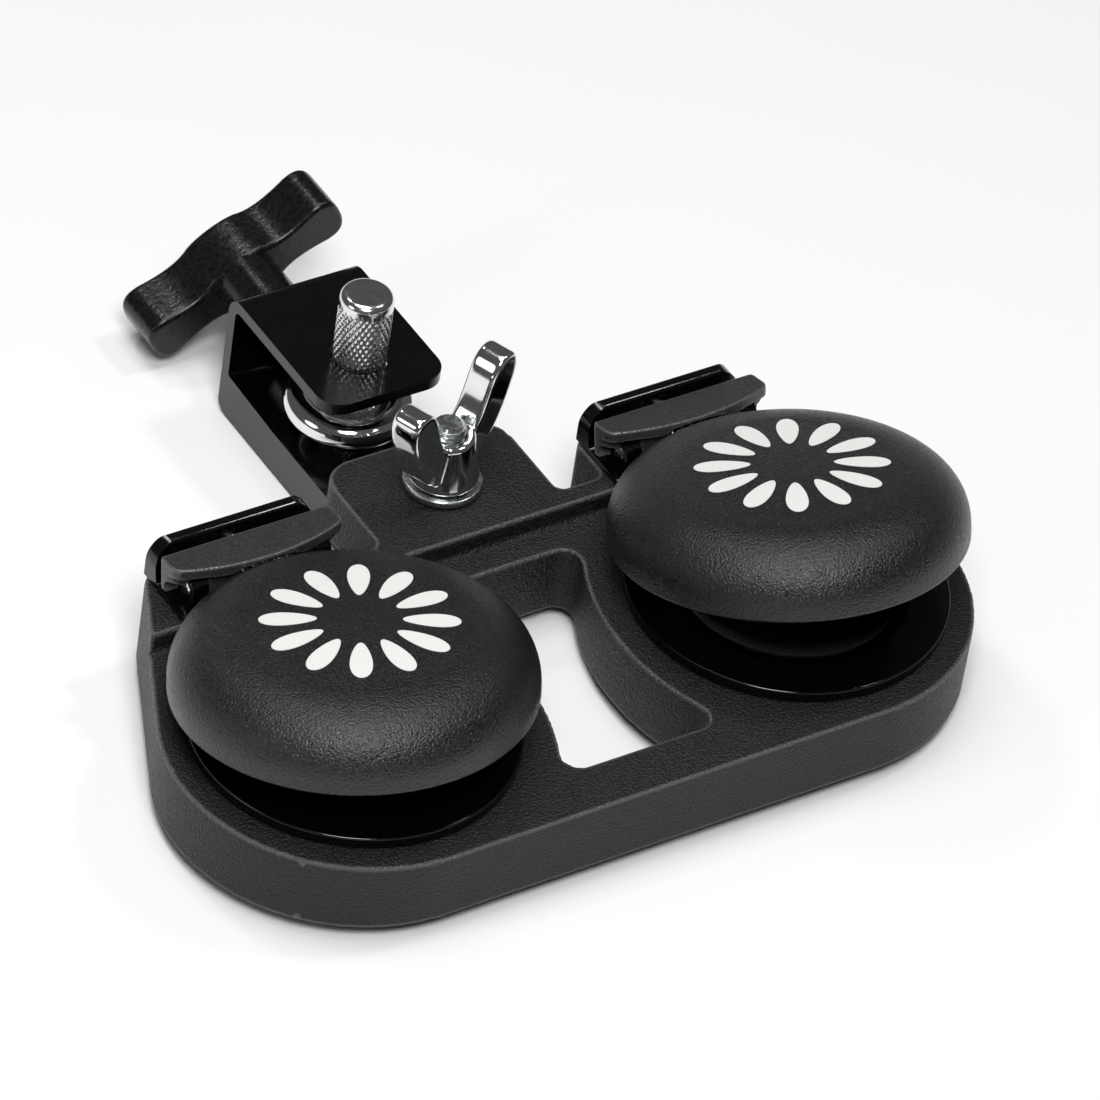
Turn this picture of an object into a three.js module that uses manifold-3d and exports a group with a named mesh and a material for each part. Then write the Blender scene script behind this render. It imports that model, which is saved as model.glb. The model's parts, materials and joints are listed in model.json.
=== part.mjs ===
// Castanet machine: two castanets hinged on a common base, with a rod clamp at the back.
// Millimetres, +Z up, +X to the player's right, +Y away from the player.
// The feet stand on z = 0. Driving dimensions come first, then one function per sub-part.
import * as THREE from 'three';
import { mergeVertices } from 'three/addons/utils/BufferGeometryUtils.js';
import Module from 'manifold-3d';

const wasm = await Module();
wasm.setup();

// ---------------------------------------------------------------- driving dimensions
const GAP = 0.3; // clearance between touching pieces
const ROUND = 40; // sides of the castanet shells
const FAR = 200; // beyond every piece, for cuts that go right through

// Base frame
const LOBE_X = 42.5; // each castanet's centre from the middle
const LOBE_R = 32.5; // outer radius of a lobe
const BASE_BOTTOM = 2.6; // underside of the frame, above the feet
const BASE_TOP = 16;
const PAD_TOP = 20; // raised rear bar, hinge pads and tongue
const PAD_FRONT = 30.2; // front edge of the raised rear part
const PAD_REAR = 44.4; // rear edge of the hinge pads
const PAD_INNER_X = 26.7;
const PAD_OUTER_X = 57.6;
const BAR_REAR = 34; // rear edge of the bar between tongue and pads
const TONGUE_HALF = 17.6;
const TONGUE_REAR = 55.3;
const TONGUE_BOTTOM = 8.9;
const OPENING_FRONT = -23;
const OPENING_REAR = 24.6;
const WAIST_X = 9.6; // half width of the opening at its waist
const WAIST_R = 44; // radius of the opening's two curved sides
const POCKET_R = 24; // pocket in the lobe under the lower shell
const POCKET_FLOOR = 7.2;
const PAD_CORNER = 4;
const PAD_INNER_CORNER = 2.5;
const TONGUE_CORNER = 6;
const OPENING_CORNER = 2.5;
const OPENING_FLARE = 1; // how far the opening's front corners spread
const SCREW_HOLE_R = 1.6; // shell screws, from below
const SCREW_SINK_R = 3.6;
const SCREW_SINK = 2.4;

// Rubber feet
const FOOT_R = 6;
const FOOT_STEM_R = 2.4;
const FOOT_STEM = 3;
const FOOT_EDGE = 0.8;
const FOOT_FRONT_X = 58;
const FOOT_FRONT_Y = -14;
const FOOT_REAR_X = 51;
const FOOT_REAR_Y = 37;
const FOOT_PLACES = [[FOOT_FRONT_X, FOOT_FRONT_Y], [FOOT_REAR_X, FOOT_REAR_Y]];

// Lower shell
const SHELL_R = 28;
const SHELL_TOP = 18.4;
const SHELL_BOWL_R = 23.4;
const SHELL_CUP_R = 20.5;
const SHELL_BOTTOM = POCKET_FLOOR + GAP;
const SHELL_FLOOR = 10.4; // bottom of the hollow
const SHELL_CORNER = 3;
const SHELL_EDGE = 0.7;
const SHELL_SCREW_X = 12; // the two screws, from the shell's centre

// Upper shell, in its closed position
const PIVOT_Y = 34.5;
const PIVOT_Z = 24.3;
const DOME_Y = 2; // dome centre when closed
const DOME_R = 30.7;
const DOME_BOTTOM = 18.8;
const DOME_HEIGHT = 12.9;
const CROWN_R = 17.3; // nearly flat inside this
const CROWN_DROP = 0.5;
const CROWN_ROUND = 0.92; // exponent of the shoulder's curve, 1 for an ellipse
const RIM_HEIGHT = 2.2;
const DOME_CUP_R = 20.5;
const DOME_CUP_DEPTH = 8.2;
const NOTCH_FRONT = 29.6; // the shell is cut away behind this, around the hinge
const NOTCH_TOP = 26;
const TILT_LEFT = 9.3; // degrees open at rest
const TILT_RIGHT = 14.8;

// Hinge block, in its closed position
const BLOCK_HALF = 16.2;
const BLOCK_TOP = 29.4;
const BLOCK_BOTTOM = 23.4;
const BLOCK_REAR = 37.8;
const BLOCK_FRONT_MID = 29.2;
const BLOCK_FRONT_END = 32.6;
const BLOCK_CORNER = 3;
const BLOCK_LIP = 2; // height of the overhanging lip
const BLOCK_RECESS = 1.5; // depth of the recess under the lip
const BARREL_R = 2.6;
const BARREL_HALF = 9.9;
const SPRING_HALF = 5.2; // half width of the notch for the spring
const SPRING_CLEAR = 4.2; // radius cleared round the pin for the spring

// Hinge bracket with its upright rear plate
const PLATE_HALF = 15.3;
const PLATE_TOP = 28.2;
const PLATE_REAR = 44;
const PLATE_TOP_THICK = 2.3;
const PLATE_FOOT_THICK = 3.9;
const PLATE_CORNER = 4.6;
const PLATE_EDGE = 0.8;
const FOOT_PLATE_FRONT = PAD_FRONT + 0.6;
const FOOT_PLATE_TOP = PAD_TOP + GAP + 1;
const EAR_IN = 10.3;
const EAR_OUT = 13.3;
const EAR_R = 3;
const EAR_CLEAR = 0.4; // round each ear, inside the block
const PIN_R = 1.5;
const SPRING_WIRE_R = 0.45;
const SPRING_TURNS = 4;
const SPRING_R = PIN_R + SPRING_WIRE_R + 0.3; // middle of the coil
const STOP_Z = 24.3;
const STOP_R = 1.5;
const STOP_HEAD_R = 2;
const STOP_HEAD = 1.2;
const STOP_TOUCH = 0.45; // from the screw's tip to the open block

// Rod clamp
const BOLT_Y = 43.5;
const BOLT_R = 3;
const BOLT_HEAD_R = 6.5;
const BOLT_HEAD = 3;
const BOLT_BEYOND = 2.2; // thread showing above the wing nut
const PLATE = 2.2; // sheet thickness of the clamp bracket
const BEND = 1.4; // inside radius of its bends
const NOSE_R = 9; // rounded front end, under the bolt
const FLANGE_CORNER = 4.5;
const BRACKET_HALF = 12.2;
const FLANGE_TOP = 26.1;
const FLANGE_FRONT = 61.9;
const WEB_REAR = 95.5;
const LOWER_TOP = TONGUE_BOTTOM - GAP;
const LIP_BOTTOM = 0.8;
const LIP_FRONT = 51;
const ROD_R = 4.7625; // 3/8 inch rod
const ROD_Y = 72.4;
const ROD_TOP = 40.1;
const ROD_BOTTOM = 1.2;
const ROD_CHAMFER = 1.6;
const EYE_Z = 14.7;
const EYE_TUBE = 2.6;
const EYE_R = 8.9;
const EYE_Y = ROD_Y + EYE_R - EYE_TUBE - ROD_R - GAP; // the eye is pulled back against the rod
const SHANK_R = 3;
const HANDLE_FRONT = 108.6;
const HANDLE_REAR = 119.4;
const HANDLE_HALF = 20.4;
const HANDLE_TURN = -29; // degrees about Y
const BOSS_R = 5.8;
const BORE_END = 3; // wall left behind the eye bolt's end
const THRUST_R = 7;
const THRUST_THICK = 1.6;

// Wing nut and washer
const WASHER_R = 6.9;
const WASHER_EDGE = 0.3;
const WASHER_THICK = 1.4;
const WASHER_Z = PAD_TOP + GAP;
const NUT_Z = WASHER_Z + WASHER_THICK + GAP;
const NUT_HEIGHT = 9.5;
const WING_TURN = 22; // degrees from X
const WING_HALF = 2.8; // half thickness of a wing

// The plan's middle sits on the origin
const PLAN_MIDDLE_Y = (HANDLE_REAR - LOBE_R) / 2;

// ---------------------------------------------------------------- helpers
const degrees = (value) => (value * Math.PI) / 180;

function toSolid(geometry) {
  const bare = geometry.index ? geometry.toNonIndexed() : geometry.clone();
  bare.deleteAttribute('normal');
  bare.deleteAttribute('uv');
  const merged = mergeVertices(bare, 1e-4);
  const triangles = [];
  const index = merged.index.array;
  for (let i = 0; i < index.length; i += 3) {
    const [a, b, c] = [index[i], index[i + 1], index[i + 2]];
    if (a !== b && b !== c && c !== a) triangles.push(a, b, c);
  }
  return new wasm.Manifold(
    new wasm.Mesh({
      numProp: 3,
      vertProperties: Float32Array.from(merged.attributes.position.array),
      triVerts: Uint32Array.from(triangles),
    }),
  );
}

function toGeometry(solid) {
  const mesh = solid.getMesh();
  const geometry = new THREE.BufferGeometry();
  geometry.setAttribute('position', new THREE.BufferAttribute(mesh.vertProperties, 3));
  geometry.setIndex(new THREE.BufferAttribute(mesh.triVerts, 1));
  const flat = geometry.toNonIndexed();
  flat.computeVertexNormals();
  return flat;
}

const join = (first, ...others) => others.reduce((sum, item) => sum.add(item), first);
const cut = (first, ...others) => others.reduce((rest, item) => rest.subtract(item), first);

function box(x0, x1, y0, y1, z0, z1) {
  const geometry = new THREE.BoxGeometry(x1 - x0, y1 - y0, z1 - z0);
  geometry.translate((x0 + x1) / 2, (y0 + y1) / 2, (z0 + z1) / 2);
  return toSolid(geometry);
}

function slab(shape, z0, z1, curveSegments = 12) {
  const geometry = new THREE.ExtrudeGeometry(shape, {
    depth: z1 - z0,
    bevelEnabled: false,
    curveSegments,
  });
  geometry.translate(0, 0, z0);
  return toSolid(geometry);
}

// A profile drawn in (y, z) and extruded along X from x0 to x1
function sideSlab(shape, x0, x1, curveSegments = 12) {
  const geometry = new THREE.ExtrudeGeometry(shape, {
    depth: x1 - x0,
    bevelEnabled: false,
    curveSegments,
  });
  geometry.rotateX(Math.PI / 2);
  geometry.rotateZ(Math.PI / 2);
  geometry.translate(x0, 0, 0);
  return toSolid(geometry);
}

// A profile drawn in (x, z) and extruded along Y from y0 to y1
function frontSlab(shape, y0, y1, curveSegments = 12) {
  const geometry = new THREE.ExtrudeGeometry(shape, {
    depth: y1 - y0,
    bevelEnabled: false,
    curveSegments,
  });
  geometry.rotateX(Math.PI / 2);
  geometry.translate(0, y1, 0);
  return toSolid(geometry);
}

// A profile of [radius, height] pairs turned about Z
function turned(profile, segments = 32) {
  const points = profile.map(([r, z]) => new THREE.Vector2(r, z));
  const geometry = new THREE.LatheGeometry(points, segments);
  geometry.rotateX(Math.PI / 2);
  return toSolid(geometry);
}

const diskZ = (r, z0, z1, segments) => turned([[0, z0], [r, z0], [r, z1], [0, z1]], segments);
const diskX = (r, x0, x1, segments = 20) => diskZ(r, x0, x1, segments).rotate([0, 90, 0]);
const diskY = (r, y0, y1, segments) => diskZ(r, y0, y1, segments).rotate([-90, 0, 0]);

// A closed outline from [x, y, corner radius] points
function roundedOutline(corners) {
  const shape = new THREE.Shape();
  corners.forEach(([x, y, r], i) => {
    const before = corners[(i + corners.length - 1) % corners.length];
    const after = corners[(i + 1) % corners.length];
    const here = new THREE.Vector2(x, y);
    const start = new THREE.Vector2(before[0] - x, before[1] - y).setLength(r).add(here);
    const end = new THREE.Vector2(after[0] - x, after[1] - y).setLength(r).add(here);
    if (i === 0) shape.moveTo(start.x, start.y);
    else shape.lineTo(start.x, start.y);
    if (r > 0) shape.quadraticCurveTo(x, y, end.x, end.y);
  });
  shape.closePath();
  return shape;
}

// ---------------------------------------------------------------- materials
const finish = (color, roughness, metalness) =>
  new THREE.MeshStandardMaterial({ color, roughness, metalness });

const texturedBlack = () => finish(0x1b1c1d, 0.75, 0);
const satinBlack = () => finish(0x202122, 0.55, 0);
const glossBlack = () => finish(0x0b0b0c, 0.15, 0);
const paintedBlack = () => finish(0x0d0d0e, 0.2, 0.4);
const rubber = () => finish(0x161616, 0.9, 0);
const chrome = () => finish(0xdfe2e4, 0.1, 1);
const zinc = () => finish(0xb9c0bd, 0.35, 1);

const group = new THREE.Group();
group.position.y = -PLAN_MIDDLE_Y;

function addPart(name, solid, material) {
  const mesh = new THREE.Mesh(toGeometry(solid), material);
  mesh.name = name;
  group.add(mesh);
}

// ---------------------------------------------------------------- base
function baseOutline() {
  const cornerAngle = Math.atan2(PAD_REAR, PAD_OUTER_X - LOBE_X);
  const reach = Math.hypot(PAD_REAR, PAD_OUTER_X - LOBE_X);
  const leave = cornerAngle - Math.acos(LOBE_R / reach);
  const shape = new THREE.Shape();
  shape.moveTo(-LOBE_X, -LOBE_R);
  shape.lineTo(LOBE_X, -LOBE_R);
  shape.absarc(LOBE_X, 0, LOBE_R, -Math.PI / 2, leave, false);
  const side = new THREE.Vector2(LOBE_R * Math.cos(leave), LOBE_R * Math.sin(leave));
  side.x += LOBE_X - PAD_OUTER_X;
  side.y -= PAD_REAR;
  side.setLength(PAD_CORNER);
  shape.lineTo(PAD_OUTER_X + side.x, PAD_REAR + side.y);
  shape.quadraticCurveTo(PAD_OUTER_X, PAD_REAR, PAD_OUTER_X - PAD_CORNER, PAD_REAR);
  shape.lineTo(PAD_INNER_X + PAD_INNER_CORNER, PAD_REAR);
  shape.quadraticCurveTo(PAD_INNER_X, PAD_REAR, PAD_INNER_X, PAD_REAR - PAD_INNER_CORNER);
  shape.lineTo(PAD_INNER_X, BAR_REAR);
  shape.lineTo(TONGUE_HALF, BAR_REAR);
  const tip = TONGUE_CORNER;
  shape.lineTo(TONGUE_HALF, TONGUE_REAR - tip);
  shape.quadraticCurveTo(TONGUE_HALF, TONGUE_REAR, TONGUE_HALF - tip, TONGUE_REAR);
  shape.lineTo(-TONGUE_HALF + tip, TONGUE_REAR);
  shape.quadraticCurveTo(-TONGUE_HALF, TONGUE_REAR, -TONGUE_HALF, TONGUE_REAR - tip);
  shape.lineTo(-TONGUE_HALF, BAR_REAR);
  shape.lineTo(-PAD_INNER_X, BAR_REAR);
  shape.lineTo(-PAD_INNER_X, PAD_REAR - PAD_INNER_CORNER);
  shape.quadraticCurveTo(-PAD_INNER_X, PAD_REAR, -PAD_INNER_X - PAD_INNER_CORNER, PAD_REAR);
  shape.lineTo(-PAD_OUTER_X + PAD_CORNER, PAD_REAR);
  shape.quadraticCurveTo(-PAD_OUTER_X, PAD_REAR, -PAD_OUTER_X - side.x, PAD_REAR + side.y);
  shape.absarc(-LOBE_X, 0, LOBE_R, Math.PI - leave, (3 * Math.PI) / 2, false);
  shape.closePath();
  return shape;
}

function openingOutline() {
  const centreX = WAIST_X + WAIST_R;
  const corner = OPENING_CORNER;
  const flare = OPENING_FLARE;
  const rearAngle = Math.asin((OPENING_REAR - corner) / WAIST_R);
  const frontAngle = Math.asin((OPENING_FRONT + corner) / WAIST_R);
  const rearX = centreX - WAIST_R * Math.cos(rearAngle);
  const frontX = centreX - WAIST_R * Math.cos(frontAngle);
  const shape = new THREE.Shape();
  shape.moveTo(-rearX + corner, OPENING_REAR);
  shape.quadraticCurveTo(-rearX, OPENING_REAR, -rearX, OPENING_REAR - corner);
  shape.absarc(-centreX, 0, WAIST_R, rearAngle, frontAngle, true);
  shape.quadraticCurveTo(-frontX - flare, OPENING_FRONT, -frontX + 2 * flare, OPENING_FRONT);
  shape.lineTo(frontX - 2 * flare, OPENING_FRONT);
  shape.quadraticCurveTo(frontX + flare, OPENING_FRONT, frontX, OPENING_FRONT + corner);
  shape.absarc(centreX, 0, WAIST_R, Math.PI - frontAngle, Math.PI - rearAngle, true);
  shape.quadraticCurveTo(rearX, OPENING_REAR, rearX - corner, OPENING_REAR);
  shape.closePath();
  return shape;
}

function baseFrame() {
  const body = slab(baseOutline(), BASE_BOTTOM, PAD_TOP, 12);
  const frontStep = box(-FAR, FAR, -FAR, PAD_FRONT, BASE_TOP, FAR);
  const underTongue = box(-FAR, FAR, BAR_REAR, FAR, -FAR, TONGUE_BOTTOM);
  const keepPads = join(
    box(PAD_INNER_X - 1, FAR, BAR_REAR - 1, FAR, -FAR, FAR),
    box(-FAR, 1 - PAD_INNER_X, BAR_REAR - 1, FAR, -FAR, FAR),
  );
  const cuts = [frontStep, cut(underTongue, keepPads), slab(openingOutline(), -FAR, FAR, 7)];
  for (const side of [-1, 1]) {
    const x = side * LOBE_X;
    cuts.push(diskZ(POCKET_R, POCKET_FLOOR, FAR, 32).translate([x, 0, 0]));
    for (const offset of [-SHELL_SCREW_X, SHELL_SCREW_X]) {
      cuts.push(diskZ(SCREW_HOLE_R, -FAR, FAR, 8).translate([x + offset, 0, 0]));
      const sink = diskZ(SCREW_SINK_R, -FAR, BASE_BOTTOM + SCREW_SINK, 12);
      cuts.push(sink.translate([x + offset, 0, 0]));
    }
    for (const [footX, footY] of FOOT_PLACES) {
      const hole = diskZ(FOOT_STEM_R + GAP, -FAR, BASE_BOTTOM + FOOT_STEM + 2 * GAP, 12);
      cuts.push(hole.translate([side * footX, footY, 0]));
    }
  }
  cuts.push(diskZ(BOLT_R + GAP, -FAR, FAR, 12).translate([0, BOLT_Y, 0]));
  return cut(body, ...cuts);
}

function rubberFoot(x, y) {
  const top = BASE_BOTTOM - GAP;
  const profile = [
    [0, 0],
    [FOOT_R - FOOT_EDGE, 0],
    [FOOT_R, FOOT_EDGE],
    [FOOT_R, top],
    [FOOT_STEM_R, top],
    [FOOT_STEM_R, BASE_BOTTOM + FOOT_STEM],
    [0, BASE_BOTTOM + FOOT_STEM],
  ];
  return turned(profile, 14).translate([x, y, 0]);
}

// ---------------------------------------------------------------- castanet shells
function lowerShell(x) {
  const profile = [
    [0, SHELL_BOTTOM],
    [SHELL_BOWL_R - SHELL_CORNER, SHELL_BOTTOM],
    [SHELL_BOWL_R, SHELL_BOTTOM + SHELL_CORNER],
    [SHELL_BOWL_R, BASE_TOP + GAP],
    [SHELL_R, BASE_TOP + GAP],
    [SHELL_R, SHELL_TOP - SHELL_EDGE],
    [SHELL_R - SHELL_EDGE, SHELL_TOP],
    [SHELL_CUP_R, SHELL_TOP],
  ];
  const steps = 4;
  for (let i = 1; i <= steps; i += 1) {
    const angle = (i / steps) * (Math.PI / 2);
    const depth = SHELL_TOP - SHELL_FLOOR;
    profile.push([SHELL_CUP_R * Math.cos(angle), SHELL_TOP - depth * Math.sin(angle)]);
  }
  const shell = turned(profile, ROUND);
  const holes = [-SHELL_SCREW_X, SHELL_SCREW_X].map((offset) =>
    diskZ(1.1, SHELL_BOTTOM - 1, SHELL_BOTTOM + 2, 8).translate([offset, 0, 0]),
  );
  return cut(shell, ...holes).translate([x, 0, 0]);
}

// The crown: nearly flat on top, rolling over to an upright rim
function domeProfile(grow) {
  const shoulder = DOME_HEIGHT - CROWN_DROP;
  const profile = [[0, DOME_HEIGHT + grow], [CROWN_R, shoulder + grow]];
  const steps = 6;
  for (let i = 1; i <= steps; i += 1) {
    const angle = (i / steps) * (Math.PI / 2);
    const out = Math.sin(angle) ** CROWN_ROUND;
    const above = Math.cos(angle) ** CROWN_ROUND;
    const r = CROWN_R + (DOME_R - CROWN_R + grow) * out;
    profile.push([r, RIM_HEIGHT + (shoulder - RIM_HEIGHT + grow) * above]);
  }
  profile.push([DOME_R + grow, 0]);
  return profile;
}

function upperShell() {
  const outside = domeProfile(0);
  const inside = [[DOME_CUP_R, 0]];
  const steps = 4;
  for (let i = 1; i < steps; i += 1) {
    const angle = (i / steps) * (Math.PI / 2);
    inside.push([DOME_CUP_R * Math.cos(angle), DOME_CUP_DEPTH * Math.sin(angle)]);
  }
  inside.push([0, DOME_CUP_DEPTH]);
  const profile = [...inside.reverse(), ...outside.reverse()];
  const shell = turned(profile, ROUND).translate([0, DOME_Y, DOME_BOTTOM]);
  return shell.subtract(box(-BLOCK_HALF - 3, BLOCK_HALF + 3, NOTCH_FRONT, FAR, 0, NOTCH_TOP));
}

// The block's plan: a bowed front edge with rounded corners
function blockOutline(inset) {
  const half = BLOCK_HALF;
  const middle = BLOCK_FRONT_MID + inset;
  const end = BLOCK_FRONT_END + inset;
  const shape = new THREE.Shape();
  shape.moveTo(-half, BLOCK_REAR);
  shape.lineTo(-half, end + BLOCK_CORNER / 2);
  shape.quadraticCurveTo(-half, end, BLOCK_CORNER - half, end - BLOCK_CORNER / 4);
  shape.quadraticCurveTo(0, 2 * middle - end, half - BLOCK_CORNER, end - BLOCK_CORNER / 4);
  shape.quadraticCurveTo(half, end, half, end + BLOCK_CORNER / 2);
  shape.lineTo(half, BLOCK_REAR);
  shape.closePath();
  return shape;
}

function aboutPin(radius, half, segments = 16) {
  return diskX(radius, -half, half, segments).translate([0, PIVOT_Y, PIVOT_Z]);
}

function hingeBlock() {
  const lipBottom = BLOCK_TOP - BLOCK_LIP;
  const top = slab(blockOutline(0), lipBottom, BLOCK_TOP, 10);
  const body = slab(blockOutline(BLOCK_RECESS), BLOCK_BOTTOM, lipBottom + 0.5, 10);
  const barrel = aboutPin(BARREL_R, BARREL_HALF, 20);
  const clearTop = PIVOT_Z + EAR_R + EAR_CLEAR;
  const springNotch = box(-SPRING_HALF, SPRING_HALF, 0, FAR, 0, PIVOT_Z + SPRING_CLEAR);
  const earSpace = [-1, 1].map((way) => {
    const inner = way * (EAR_IN - EAR_CLEAR);
    const outer = way * (EAR_OUT + EAR_CLEAR);
    return box(Math.min(inner, outer), Math.max(inner, outer), 0, FAR, 0, clearTop);
  });
  const dome = turned([...domeProfile(GAP), [0, 0]].reverse(), ROUND);
  const domeSpace = dome.translate([0, DOME_Y, DOME_BOTTOM]);
  const pinHole = aboutPin(PIN_R + GAP, FAR);
  return cut(join(top, body, barrel), pinHole, springNotch, ...earSpace, domeSpace);
}

// Turns a closed upper piece open about the hinge pin
function opened(solid, tilt, x) {
  return solid
    .translate([0, -PIVOT_Y, -PIVOT_Z])
    .rotate([-tilt, 0, 0])
    .translate([x, PIVOT_Y, PIVOT_Z]);
}

// ---------------------------------------------------------------- hinges
function hingeBracket(x) {
  const bottom = PAD_TOP + GAP;
  const side = roundedOutline([
    [FOOT_PLATE_FRONT, bottom, 0],
    [PLATE_REAR, bottom, 0],
    [PLATE_REAR, PLATE_TOP, PLATE_EDGE],
    [PLATE_REAR - PLATE_TOP_THICK, PLATE_TOP, PLATE_EDGE],
    [PLATE_REAR - PLATE_FOOT_THICK, FOOT_PLATE_TOP, PLATE_EDGE],
    [FOOT_PLATE_FRONT, FOOT_PLATE_TOP, 0],
  ]);
  const plate = sideSlab(side, -PLATE_HALF, PLATE_HALF, 4);
  const face = roundedOutline([
    [-PLATE_HALF, bottom, 0],
    [PLATE_HALF, bottom, 0],
    [PLATE_HALF, PLATE_TOP, PLATE_CORNER],
    [-PLATE_HALF, PLATE_TOP, PLATE_CORNER],
  ]);
  const trimmed = plate.intersect(frontSlab(face, 0, FAR, 6));
  const ears = [-1, 1].map((way) => {
    const [x0, x1] = way < 0 ? [-EAR_OUT, -EAR_IN] : [EAR_IN, EAR_OUT];
    const eye = diskX(EAR_R, x0, x1).translate([0, PIVOT_Y, PIVOT_Z]);
    const post = box(x0, x1, PIVOT_Y - EAR_R, PIVOT_Y + EAR_R, bottom, PIVOT_Z);
    return join(eye, post);
  });
  const stopHole = diskY(STOP_R + GAP, 0, FAR, 16).translate([0, 0, STOP_Z]);
  const plateOnly = trimmed.subtract(stopHole);
  return cut(join(plateOnly, ...ears), aboutPin(PIN_R + GAP, FAR)).translate([x, 0, 0]);
}

function hingePin(x) {
  return aboutPin(PIN_R, EAR_OUT).translate([x, 0, 0]);
}

class SpringCurve extends THREE.Curve {
  constructor(radius, half, turns) {
    super();
    this.radius = radius;
    this.half = half;
    this.turns = turns;
  }

  getPoint(t) {
    const angle = t * this.turns * 2 * Math.PI;
    const x = -this.half + 2 * this.half * t;
    return new THREE.Vector3(x, this.radius * Math.cos(angle), this.radius * Math.sin(angle));
  }
}

function torsionSpring(x) {
  const wire = new THREE.Shape();
  wire.absarc(0, 0, SPRING_WIRE_R, 0, 2 * Math.PI, false);
  const geometry = new THREE.ExtrudeGeometry(wire, {
    steps: SPRING_TURNS * 10,
    curveSegments: 2,
    bevelEnabled: false,
    extrudePath: new SpringCurve(SPRING_R, SPRING_HALF - 1.2, SPRING_TURNS),
  });
  return toSolid(geometry).translate([x, PIVOT_Y, PIVOT_Z]);
}

// The block's rear face at the stop screw's height, when opened by tilt degrees
function blockRearAt(tilt) {
  const behind = BLOCK_REAR - PIVOT_Y;
  const angle = degrees(tilt);
  const along = (STOP_Z - PIVOT_Z + behind * Math.sin(angle)) / Math.cos(angle);
  return PIVOT_Y + behind * Math.cos(angle) + along * Math.sin(angle);
}

function stopScrew(x, tilt) {
  const tip = blockRearAt(tilt) + STOP_TOUCH;
  const headFront = PLATE_REAR + GAP;
  const headRear = headFront + STOP_HEAD;
  const shank = diskY(STOP_R, tip, headRear, 12);
  const head = diskY(STOP_HEAD_R, headFront, headRear, 16);
  const slot = box(-FAR, FAR, headRear - 0.6, FAR, -0.35, 0.35);
  return join(shank, head).subtract(slot).translate([x, 0, STOP_Z]);
}

function shellScrew(x) {
  const seat = BASE_BOTTOM + SCREW_SINK - GAP;
  const headR = SCREW_SINK_R - 0.6;
  const threadR = SCREW_HOLE_R / 2;
  const profile = [
    [0, seat - 1.7],
    [headR - 0.6, seat - 1.7],
    [headR, seat - 1],
    [headR, seat],
    [threadR, seat],
    [threadR, SHELL_BOTTOM + 1.6],
    [0, SHELL_BOTTOM + 1.6],
  ];
  const slot = box(-0.35, 0.35, -FAR, FAR, 0, seat - 1.1);
  return turned(profile, 14).subtract(slot).translate([x, 0, 0]);
}

// ---------------------------------------------------------------- rod clamp
function clampBracket() {
  const lowerBottom = LOWER_TOP - PLATE;
  const side = roundedOutline([
    [WEB_REAR, lowerBottom, BEND + PLATE],
    [WEB_REAR, FLANGE_TOP, BEND + PLATE],
    [FLANGE_FRONT, FLANGE_TOP, 0],
    [FLANGE_FRONT, FLANGE_TOP - PLATE, 0],
    [WEB_REAR - PLATE, FLANGE_TOP - PLATE, BEND],
    [WEB_REAR - PLATE, LOWER_TOP, BEND],
    [BOLT_Y - NOSE_R, LOWER_TOP, 0],
    [BOLT_Y - NOSE_R, lowerBottom, 0],
  ]);
  const channel = sideSlab(side, -BRACKET_HALF, BRACKET_HALF, 6);
  const lowerPlan = new THREE.Shape();
  lowerPlan.moveTo(BRACKET_HALF, FAR);
  lowerPlan.lineTo(-BRACKET_HALF, FAR);
  lowerPlan.lineTo(-BRACKET_HALF, LIP_FRONT);
  lowerPlan.lineTo(-NOSE_R, BOLT_Y);
  lowerPlan.absarc(0, BOLT_Y, NOSE_R, Math.PI, 2 * Math.PI, false);
  lowerPlan.lineTo(BRACKET_HALF, LIP_FRONT);
  lowerPlan.closePath();
  const upperPlan = roundedOutline([
    [-BRACKET_HALF, FLANGE_FRONT, FLANGE_CORNER],
    [BRACKET_HALF, FLANGE_FRONT, FLANGE_CORNER],
    [BRACKET_HALF, FAR, 0],
    [-BRACKET_HALF, FAR, 0],
  ]);
  const middle = (FLANGE_TOP + LOWER_TOP) / 2;
  const plan = join(slab(lowerPlan, -1, middle, 12), slab(upperPlan, middle, FAR, 6));
  const lips = [-1, 1].map((way) => {
    const inner = way * (BRACKET_HALF - PLATE);
    const outer = way * BRACKET_HALF;
    const outline = roundedOutline([
      [LIP_FRONT + 0.5, lowerBottom + 1, 0],
      [LIP_FRONT + 0.5, LIP_BOTTOM, 1.5],
      [WEB_REAR, LIP_BOTTOM, 2],
      [WEB_REAR, lowerBottom + 3, 0.5],
    ]);
    return sideSlab(outline, Math.min(inner, outer), Math.max(inner, outer), 4);
  });
  const boltHalf = BOLT_R + GAP;
  const boltHole = box(-boltHalf, boltHalf, -boltHalf, boltHalf, 0, LOWER_TOP + 1);
  const rodHole = diskZ(ROD_R + GAP + 0.05, -1, FAR, 24);
  const shankHole = diskY(SHANK_R + GAP, ROD_Y + EYE_R, FAR, 16).translate([0, 0, EYE_Z]);
  return cut(
    join(channel.intersect(plan), ...lips),
    boltHole.translate([0, BOLT_Y, 0]),
    rodHole.translate([0, ROD_Y, 0]),
    shankHole,
  );
}

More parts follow.
